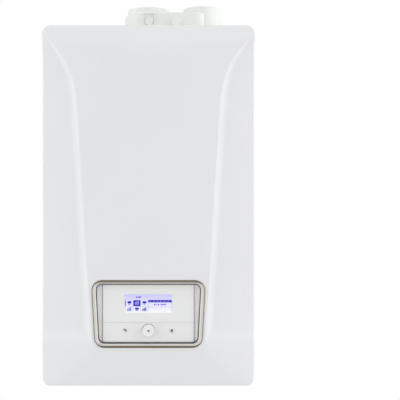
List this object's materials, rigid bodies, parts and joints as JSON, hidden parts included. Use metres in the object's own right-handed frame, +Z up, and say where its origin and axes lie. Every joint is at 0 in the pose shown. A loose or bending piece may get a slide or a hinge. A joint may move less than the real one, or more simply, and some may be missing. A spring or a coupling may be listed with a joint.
{
  "type": "wall-hung condensing gas boiler",
  "caption": "White wall-hung gas boiler: sculpted pull-off front cover, fold-down control box with screen and knob, twin flue adaptor on the roof.",
  "frame": {"origin": "on the wall plane, midway between the two wall bolts of the hanging bracket", "axes": "+X to the right seen from the front, +Y into the wall, so the front faces -Y, +Z up"},
  "size_m": [0.45, 0.3465, 0.859],
  "materials": {
    "cover_white": "satin white moulding",
    "casing_white": "white powder coat",
    "frame_steel": "galvanised sheet",
    "trim_satin": "satin bronze-grey metallised trim",
    "surround_grey": "light grey moulding",
    "fascia_white": "fine satin",
    "lens_clear": "clear lens",
    "display_lilac": "lit display",
    "knob_white": "satin",
    "box_grey": "moulded grey",
    "board_green": "circuit board",
    "switch_black": "black moulding",
    "adaptor_white": "white moulding",
    "rubber_black": "black rubber",
    "screw_steel": "zinc plated",
    "clip_black": "black moulding",
    "vessel_red": "red enamel",
    "exchanger_steel": "pressed and welded drum",
    "burner_steel": "heat-tinted",
    "ceramic": "ceramic",
    "cast_alloy": "die cast",
    "motor_black": "black moulding",
    "pump_iron": "coated casting",
    "plates_steel": "brazed plates",
    "brass": "machined brass",
    "copper": "copper tube",
    "trap_grey": "moulded grey",
    "knob_red": "red moulding",
    "knob_blue": "blue moulding"
  },
  "bodies": {
    "casing": {"air_intake_snorkel": "clip_black", "air_mixer": "clip_black", "back_frame": "frame_steel", "bottom_plate": "frame_steel", "burner": "burner_steel", "burner_door": "exchanger_steel", "casing_gasket": "rubber_black", "casing_screws": "screw_steel", "cold_water_pipe": "copper", "condensate_pipe": "rubber_black", "condensate_trap": "trap_grey", "diverter_actuator": "motor_black", "diverter_valve": "brass", "exchanger_flow_pipe": "copper", "exchanger_return_pipe": "copper", "expansion_vessel": "vessel_red", "fan_housing": "cast_alloy", "fan_motor": "motor_black", "filling_tap": "brass", "flue_adaptor": "adaptor_white", "flue_pipe": "adaptor_white", "gas_pipe": "copper", "gas_valve": "cast_alloy", "heat_exchanger": "exchanger_steel", "heating_flow_pipe": "copper", "heating_return_pipe": "copper", "hot_water_pipe": "copper", "ignition_electrode": "ceramic", "lower_rail": "frame_steel", "pipe_nuts": "brass", "plate_heat_exchanger": "plates_steel", "pump_body": "pump_iron", "pump_motor": "motor_black", "relief_valve": "brass", "roof_panel": "casing_white", "side_panel_left": "casing_white", "side_panel_right": "casing_white", "socket_seals": "rubber_black", "test_point_caps": "adaptor_white", "vessel_pipe": "rubber_black", "wall_bracket": "frame_steel"},
    "cover": {"front_cover": "cover_white", "control_bezel": "trim_satin", "cover_screws": "screw_steel", "cover_clips": "clip_black"},
    "control_box": {"control_box": "box_grey", "control_box_lid": "box_grey", "main_board": "board_green", "control_surround": "surround_grey", "control_fascia": "fascia_white", "display_window": "lens_clear", "display_module": "display_lilac", "panel_switches": "switch_black"},
    "encoder_shaft": {"encoder_shaft": "screw_steel"},
    "knob": {"control_knob": "knob_white"},
    "back_button": {"back_button": "knob_white"},
    "menu_button": {"menu_button": "knob_white"},
    "fan": {"fan_impeller": "switch_black"},
    "relief_knob": {"relief_knob": "knob_red"},
    "filling_tap_knob": {"filling_tap_knob": "knob_blue"}
  },
  "joints": [
    {"name": "front_cover_slide", "type": "slide", "parent": "casing", "child": "cover", "axis": [0, -1, 0], "range_m": [0, 0.4]},
    {"name": "control_box_tilt", "type": "hinge", "parent": "casing", "child": "control_box", "pos_m": [0, -0.3, -0.624], "axis": [1, 0, 0], "range_deg": [0, 83]},
    {"name": "knob_press", "type": "slide", "parent": "control_box", "child": "encoder_shaft", "axis": [0, 1, 0], "range_m": [0, 0.0012], "stiffness_N_per_m": 3000},
    {"name": "knob_turn", "type": "hinge", "parent": "encoder_shaft", "child": "knob", "pos_m": [0, -0.342, -0.5903], "axis": [0, -1, 0], "continuous": true},
    {"name": "back_button_press", "type": "slide", "parent": "control_box", "child": "back_button", "axis": [0, 1, 0], "range_m": [0, 0.0008], "stiffness_N_per_m": 2500},
    {"name": "menu_button_press", "type": "slide", "parent": "control_box", "child": "menu_button", "axis": [0, 1, 0], "range_m": [0, 0.0008], "stiffness_N_per_m": 2500},
    {"name": "fan_spin", "type": "hinge", "parent": "casing", "child": "fan", "pos_m": [0.098, -0.245, -0.39], "axis": [0, -1, 0], "continuous": true},
    {"name": "relief_knob_turn", "type": "hinge", "parent": "casing", "child": "relief_knob", "pos_m": [-0.187, -0.185, -0.588], "axis": [0, -1, 0], "range_deg": [0, 90]},
    {"name": "filling_tap_turn", "type": "hinge", "parent": "casing", "child": "filling_tap_knob", "pos_m": [0.0975, -0.14, -0.671], "axis": [0, 0, -1], "range_deg": [0, 90]}
  ],
  "couplings": [
    {"joint": "control_box_tilt", "follows": "front_cover_slide", "rad_per_m": 3.6}
  ]
}
